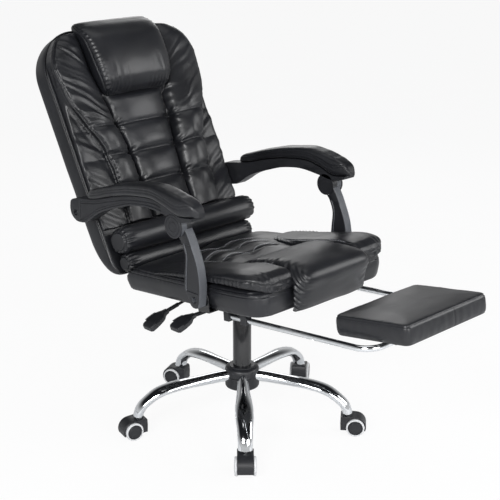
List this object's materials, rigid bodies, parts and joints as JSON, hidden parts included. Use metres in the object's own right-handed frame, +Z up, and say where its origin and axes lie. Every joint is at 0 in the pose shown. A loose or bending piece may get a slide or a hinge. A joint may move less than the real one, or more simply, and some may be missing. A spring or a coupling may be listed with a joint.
{
  "type": "reclining office chair with footrest",
  "caption": "Padded office recliner on a castor star base, with linked armrests, lumbar rolls, headrest pillow and a slide-out footrest that flips over.",
  "frame": {"origin": "on the floor under the middle of the chair's box", "axes": "+Z up, the sitter faces -Y, the sitter's right side with the two levers is -X"},
  "size_m": [0.6702, 1.279, 1.0535],
  "materials": {
    "padded_leather": "black synthetic leather with a satin sheen over foam",
    "black_plastic": "satin black moulded plastic",
    "ribbed_plastic": "satin black plastic with fine ribs down the front",
    "black_steel": "gloss black paint",
    "chrome": "polished chrome plate",
    "zinc_steel": "bright zinc plated steel",
    "plywood": "raw plywood",
    "wheel_white": "off-white tread ring with a black hub cap"
  },
  "bodies": {
    "base": {"base_star": "chrome", "hub_cover_upper": "black_plastic", "hub_cover_lower": "black_plastic", "lift_outer_tube": "black_steel"},
    "castor_1_fork": {"castor_1_stem": "zinc_steel", "castor_1_hood": "black_plastic"},
    "castor_1_roller": {"castor_1_wheels": "wheel_white"},
    "castor_2_fork": {"castor_2_stem": "zinc_steel", "castor_2_hood": "black_plastic"},
    "castor_2_roller": {"castor_2_wheels": "wheel_white"},
    "castor_3_fork": {"castor_3_stem": "zinc_steel", "castor_3_hood": "black_plastic"},
    "castor_3_roller": {"castor_3_wheels": "wheel_white"},
    "castor_4_fork": {"castor_4_stem": "zinc_steel", "castor_4_hood": "black_plastic"},
    "castor_4_roller": {"castor_4_wheels": "wheel_white"},
    "castor_5_fork": {"castor_5_stem": "zinc_steel", "castor_5_hood": "black_plastic"},
    "castor_5_roller": {"castor_5_wheels": "wheel_white"},
    "piston": {"lift_piston": "zinc_steel"},
    "seat": {"mechanism_plate": "black_steel", "seat_board": "plywood", "seat_cushion": "padded_leather", "seat_front_panel": "padded_leather", "thigh_pillow_left": "padded_leather", "thigh_pillow_right": "padded_leather", "footrest_guide_left": "black_plastic", "footrest_guide_right": "black_plastic", "seat_hinge_bar_left": "black_steel", "seat_hinge_bar_right": "black_steel", "arm_mount_left": "black_steel", "arm_mount_right": "black_steel", "lower_bolt_left": "zinc_steel", "lower_bolt_right": "zinc_steel"},
    "height_lever": {"height_lever_rod": "black_steel", "height_lever_handle": "black_plastic"},
    "recline_lever": {"recline_lever_rod": "black_steel", "recline_lever_handle": "black_plastic"},
    "footrest_slider": {"footrest_frame": "chrome"},
    "footrest_pad": {"footrest_board": "plywood", "footrest_cushion": "padded_leather", "footrest_clamp_left": "black_steel", "footrest_clamp_right": "black_steel"},
    "back": {"recline_pin": "zinc_steel", "back_bracket": "black_steel", "back_shell": "padded_leather", "back_cushion": "padded_leather", "headrest_pillow": "padded_leather", "lumbar_roll_upper": "padded_leather", "lumbar_roll_lower": "padded_leather", "rear_bolt_left": "zinc_steel", "rear_bolt_right": "zinc_steel"},
    "arm_upper_left": {"arm_rail_left": "black_plastic", "arm_pad_left": "padded_leather", "hinge_cap_left": "black_plastic"},
    "arm_upper_right": {"arm_rail_right": "black_plastic", "arm_pad_right": "padded_leather", "hinge_cap_right": "black_plastic"},
    "arm_lower_left": {"arm_post_left": "ribbed_plastic"},
    "arm_lower_right": {"arm_post_right": "ribbed_plastic"}
  },
  "joints": [
    {"name": "castor_1_swivel", "type": "hinge", "parent": "base", "child": "castor_1_fork", "pos_m": [0.28399, 0.0995, 0.05], "axis": [0, 0, 1], "continuous": true},
    {"name": "castor_1_roll", "type": "hinge", "parent": "castor_1_fork", "child": "castor_1_roller", "pos_m": [0.29975, 0.11181, 0.025], "axis": [-0.6157, 0.788, 0], "continuous": true},
    {"name": "castor_2_swivel", "type": "hinge", "parent": "base", "child": "castor_2_fork", "pos_m": [0.02481, 0.33866, 0.05], "axis": [0, 0, 1], "continuous": true},
    {"name": "castor_2_roll", "type": "hinge", "parent": "castor_2_fork", "child": "castor_2_roller", "pos_m": [0.01635, 0.35679, 0.025], "axis": [-0.9063, -0.4226, 0], "continuous": true},
    {"name": "castor_3_swivel", "type": "hinge", "parent": "base", "child": "castor_3_fork", "pos_m": [-0.28275, 0.16607, 0.05], "axis": [0, 0, 1], "continuous": true},
    {"name": "castor_3_roll", "type": "hinge", "parent": "castor_3_fork", "child": "castor_3_roller", "pos_m": [-0.30211, 0.17108, 0.025], "axis": [-0.2504, -0.9681, 0], "continuous": true},
    {"name": "castor_4_swivel", "type": "hinge", "parent": "base", "child": "castor_4_fork", "pos_m": [-0.21364, -0.17976, 0.05], "axis": [0, 0, 1], "continuous": true},
    {"name": "castor_4_roll", "type": "hinge", "parent": "castor_4_fork", "child": "castor_4_roller", "pos_m": [-0.22754, -0.19415, 0.025], "axis": [0.7193, -0.6947, 0], "continuous": true},
    {"name": "castor_5_swivel", "type": "hinge", "parent": "base", "child": "castor_5_fork", "pos_m": [0.13662, -0.22091, 0.05], "axis": [0, 0, 1], "continuous": true},
    {"name": "castor_5_roll", "type": "hinge", "parent": "castor_5_fork", "child": "castor_5_roller", "pos_m": [0.14948, -0.23623, 0.025], "axis": [0.766, 0.6428, 0], "continuous": true},
    {"name": "gas_lift", "type": "slide", "parent": "base", "child": "piston", "axis": [0, 0, 1], "range_m": [0, 0.08]},
    {"name": "seat_swivel", "type": "hinge", "parent": "piston", "child": "seat", "pos_m": [-0.01019, 0.04071, 0.36], "axis": [0, 0, 1], "continuous": true},
    {"name": "height_lever_pull", "type": "hinge", "parent": "seat", "child": "height_lever", "pos_m": [-0.06019, 0.02571, 0.366], "axis": [0, 1, 0], "range_deg": [0, 3], "stiffness_Nm_per_rad": 5, "springref_deg": -11.46},
    {"name": "recline_lever_pull", "type": "hinge", "parent": "seat", "child": "recline_lever", "pos_m": [-0.06019, 0.13371, 0.376], "axis": [0, 1, 0], "range_deg": [0, 3], "stiffness_Nm_per_rad": 5, "springref_deg": -11.46},
    {"name": "footrest_slide", "type": "slide", "parent": "seat", "child": "footrest_slider", "axis": [0, 0.9954, -0.0958], "range_m": [0, 0.34]},
    {"name": "footrest_flip", "type": "hinge", "parent": "footrest_slider", "child": "footrest_pad", "pos_m": [-0.01019, -0.5585, 0.44155], "axis": [1, 0, 0], "range_deg": [0, 180]},
    {"name": "back_recline", "type": "hinge", "parent": "seat", "child": "back", "pos_m": [-0.01019, 0.30885, 0.414], "axis": [-1, 0, 0], "range_deg": [-10, 27]},
    {"name": "arm_rear_left", "type": "hinge", "parent": "back", "child": "arm_upper_left", "pos_m": [0.26581, 0.36885, 0.592], "axis": [-1, 0, 0], "range_deg": [-27, 10]},
    {"name": "arm_rear_right", "type": "hinge", "parent": "back", "child": "arm_upper_right", "pos_m": [-0.2862, 0.36885, 0.592], "axis": [-1, 0, 0], "range_deg": [-27, 10]},
    {"name": "arm_foot_left", "type": "hinge", "parent": "seat", "child": "arm_lower_left", "pos_m": [0.25931, -0.08225, 0.461], "axis": [-1, 0, 0], "range_deg": [-10, 27]},
    {"name": "arm_foot_right", "type": "hinge", "parent": "seat", "child": "arm_lower_right", "pos_m": [-0.2797, -0.08225, 0.461], "axis": [-1, 0, 0], "range_deg": [-10, 27]}
  ],
  "couplings": [
    {"joint": "footrest_flip", "follows": "footrest_slide", "rad_per_m": 9.24},
    {"joint": "arm_rear_left", "follows": "back_recline", "ratio": -1},
    {"joint": "arm_rear_right", "follows": "back_recline", "ratio": -1},
    {"joint": "arm_foot_left", "follows": "back_recline", "ratio": 1},
    {"joint": "arm_foot_right", "follows": "back_recline", "ratio": 1}
  ]
}
